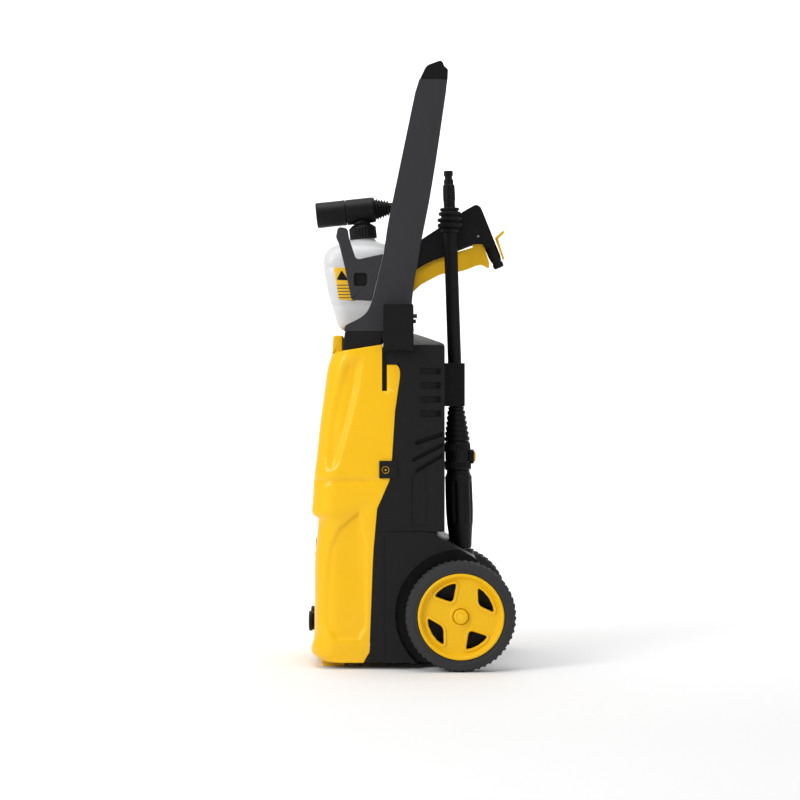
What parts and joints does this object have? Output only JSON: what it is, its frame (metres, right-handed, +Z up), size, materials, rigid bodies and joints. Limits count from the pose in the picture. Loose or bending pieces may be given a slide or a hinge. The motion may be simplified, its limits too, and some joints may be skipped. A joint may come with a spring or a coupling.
{
  "type": "pressure washer",
  "caption": "Upright wheeled pressure washer with a push handle, stowed trigger gun, lance and foam bottle on a yellow and black plastic housing.",
  "frame": {"origin": "centre of the overall box on the ground, between the front feet and the wheels", "axes": "+Z up along the body and handle; -Y towards the front cover; +X towards the side with the outlet and lance"},
  "size_m": [0.3, 0.296, 0.8651],
  "materials": {
    "yellow_shell": "glossy moulded yellow plastic",
    "rim_yellow": "satin moulded yellow plastic",
    "black_shell": "fine textured black plastic",
    "deep_black": "satin black plastic",
    "handle_grey": "textured dark grey plastic",
    "tyre": "matt solid rubber",
    "milky_plastic": "translucent milky plastic",
    "steel": "bright steel",
    "aluminium": "cast, satin",
    "motor_paint": "varnished"
  },
  "bodies": {
    "housing": {"front_cover": "yellow_shell", "cover_screw_left": "steel", "cover_screw_right": "steel", "rear_shell": "black_shell", "base_housing": "black_shell", "base_plate": "black_shell", "cable_gland": "deep_black", "handle_arm_left": "handle_grey", "handle_arm_right": "handle_grey", "handle_grip": "deep_black", "cradle_plate_left": "handle_grey", "cradle_plate_right": "handle_grey", "cradle_floor": "black_shell", "cord_hook_left": "deep_black", "cord_hook_right": "deep_black", "gun_holder": "black_shell", "axle": "steel", "switch_bezel": "black_shell", "switch_box": "deep_black", "outlet_connector": "deep_black", "inlet_connector": "deep_black", "outlet_tube": "deep_black", "inlet_tube": "deep_black", "pump_head": "aluminium", "pump_body": "aluminium", "piston_1": "steel", "piston_2": "steel", "piston_3": "steel", "motor_body": "motor_paint", "lance_peg": "black_shell", "lance_clip": "deep_black"},
    "wheel_left": {"tyre_left": "tyre", "rim_left": "rim_yellow", "hub_cap_left": "rim_yellow"},
    "wheel_right": {"tyre_right": "tyre", "rim_right": "rim_yellow", "hub_cap_right": "rim_yellow"},
    "switch": {"switch_knob": "rim_yellow"},
    "rotor": {"rotor_shaft": "steel", "cooling_fan": "deep_black", "swash_plate": "steel"},
    "foam_set": {"foam_bottle": "milky_plastic", "bottle_cap": "deep_black", "dip_tube": "milky_plastic", "foam_head": "deep_black"},
    "foam_nozzle": {"foam_barrel": "deep_black"},
    "lance": {"lance_plug": "deep_black", "lance_collar": "deep_black", "lance_pipe": "deep_black", "lance_cone": "deep_black", "selector_ring": "deep_black"},
    "lance_nozzle": {"nozzle_sleeve": "deep_black"},
    "gun": {"gun_body": "deep_black", "gun_barrel": "deep_black", "trigger_pin": "steel"},
    "trigger": {"gun_trigger": "yellow_shell"},
    "gun_safety": {"gun_lock": "yellow_shell"}
  },
  "joints": [
    {"name": "wheel_left_spin", "type": "hinge", "parent": "housing", "child": "wheel_left", "pos_m": [0.132, 0.07, 0.078], "axis": [1, 0, 0], "continuous": true},
    {"name": "wheel_right_spin", "type": "hinge", "parent": "housing", "child": "wheel_right", "pos_m": [-0.132, 0.07, 0.078], "axis": [1, 0, 0], "continuous": true},
    {"name": "switch_turn", "type": "hinge", "parent": "housing", "child": "switch", "pos_m": [0, -0.135, 0.1555], "axis": [0, -1, 0], "range_deg": [0, 90]},
    {"name": "rotor_spin", "type": "hinge", "parent": "housing", "child": "rotor", "pos_m": [0, -0.035, 0.28], "axis": [0, 0, 1], "continuous": true},
    {"name": "foam_lift", "type": "slide", "parent": "housing", "child": "foam_set", "axis": [0, -0.1045, 0.9945], "range_m": [0, 0.16]},
    {"name": "foam_nozzle_twist", "type": "hinge", "parent": "foam_set", "child": "foam_nozzle", "pos_m": [0, -0.139, 0.654], "axis": [0, 0.9945, 0.1045], "range_deg": [0, 90]},
    {"name": "lance_tilt", "type": "hinge", "parent": "housing", "child": "lance", "pos_m": [0.024, 0.0887, 0.1662], "axis": [-1, 0, 0], "range_deg": [0, 15]},
    {"name": "nozzle_twist", "type": "hinge", "parent": "lance", "child": "lance_nozzle", "pos_m": [0.024, 0.0734, 0.1657], "axis": [0, -0.0332, 0.9995], "range_deg": [0, 90]},
    {"name": "gun_lift", "type": "slide", "parent": "housing", "child": "gun", "axis": [0, 0, 1], "range_m": [0, 0.12]},
    {"name": "trigger_pull", "type": "hinge", "parent": "gun", "child": "trigger", "pos_m": [-0.016, 0.1, 0.624], "axis": [-1, 0, 0], "range_deg": [0, 7], "stiffness_Nm_per_rad": 2, "springref_deg": -8.59},
    {"name": "gun_lock_turn", "type": "hinge", "parent": "gun", "child": "gun_safety", "pos_m": [-0.016, 0.1265, 0.621], "axis": [1, 0, 0], "range_deg": [0, 20]}
  ]
}
